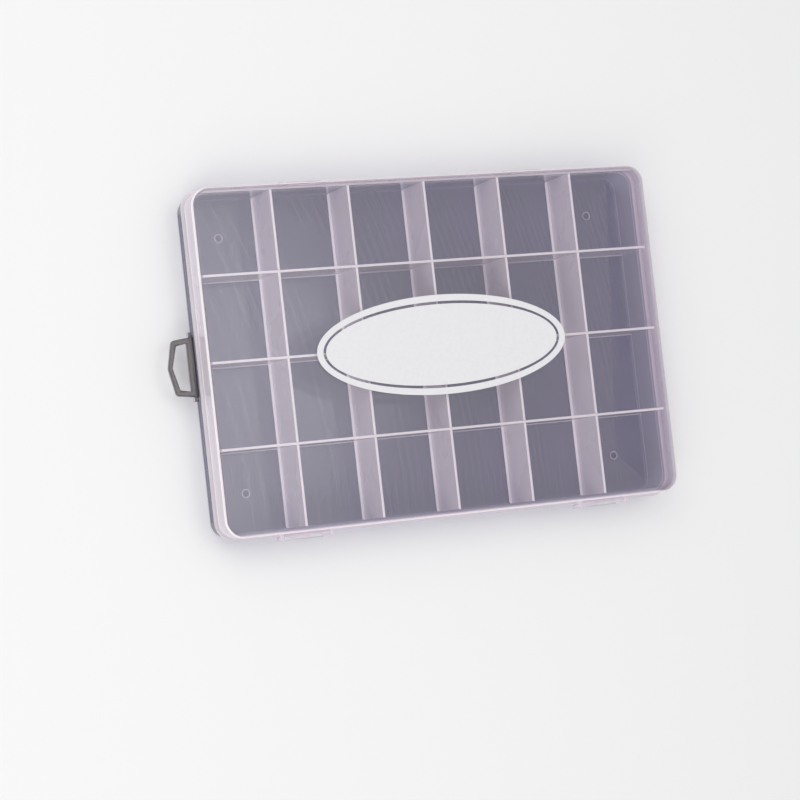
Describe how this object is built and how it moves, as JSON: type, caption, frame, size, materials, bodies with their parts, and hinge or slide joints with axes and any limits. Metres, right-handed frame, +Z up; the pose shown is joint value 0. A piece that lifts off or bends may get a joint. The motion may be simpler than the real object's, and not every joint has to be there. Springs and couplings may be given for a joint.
{
  "type": "bead organizer box",
  "caption": "Flat clear box with a grid of small-parts cells, one hinged lid with snap latches, a hang loop and a bare printed oval on the lid.",
  "frame": {"origin": "middle of the tray's flat underside, lid shut", "axes": "+X along the length away from the hang loop, +Y towards the hinged side, +Z up through the lid"},
  "size_m": [0.206, 0.1377, 0.023],
  "materials": {
    "clear_tray": "clear polypropylene, slightly milky, glossy",
    "clear_dividers": "clear polypropylene, milky, satin",
    "clear_lid": "clear polypropylene, glossy",
    "clear_latches": "clear polypropylene, glossy",
    "clear_loop": "clear polypropylene, glossy",
    "hinge_pins": "natural white plastic, glossy",
    "white_ink": "flat white screen-printed ink"
  },
  "bodies": {
    "tray": {"tray_shell": "clear_tray", "cross_divider_1": "clear_dividers", "cross_divider_2": "clear_dividers", "cross_divider_3": "clear_dividers", "cross_divider_4": "clear_dividers", "cross_divider_5": "clear_dividers", "long_divider_1": "clear_dividers", "long_divider_2": "clear_dividers", "long_divider_3": "clear_dividers", "hinge_pin_left": "hinge_pins", "hinge_pin_right": "hinge_pins"},
    "lid": {"lid_cover": "clear_lid", "label_border": "white_ink", "label_panel": "white_ink"},
    "latch_flap_left": {"latch_left": "clear_latches"},
    "latch_flap_right": {"latch_right": "clear_latches"},
    "loop": {"hang_loop": "clear_loop"}
  },
  "joints": [
    {"name": "lid_hinge", "type": "hinge", "parent": "tray", "child": "lid", "pos_m": [0, 0.06715, 0.01155], "axis": [-1, 0, 0], "range_deg": [0, 180]},
    {"name": "latch_left_hinge", "type": "hinge", "parent": "lid", "child": "latch_flap_left", "pos_m": [-0.0635, -0.06785, 0.018], "axis": [-1, 0, 0], "range_deg": [0, 110]},
    {"name": "latch_right_hinge", "type": "hinge", "parent": "lid", "child": "latch_flap_right", "pos_m": [0.0635, -0.06785, 0.018], "axis": [-1, 0, 0], "range_deg": [0, 110]},
    {"name": "loop_pivot", "type": "hinge", "parent": "tray", "child": "loop", "pos_m": [-0.0983, 0, 0.0094], "axis": [0, 1, 0], "range_deg": [-45, 70]}
  ]
}
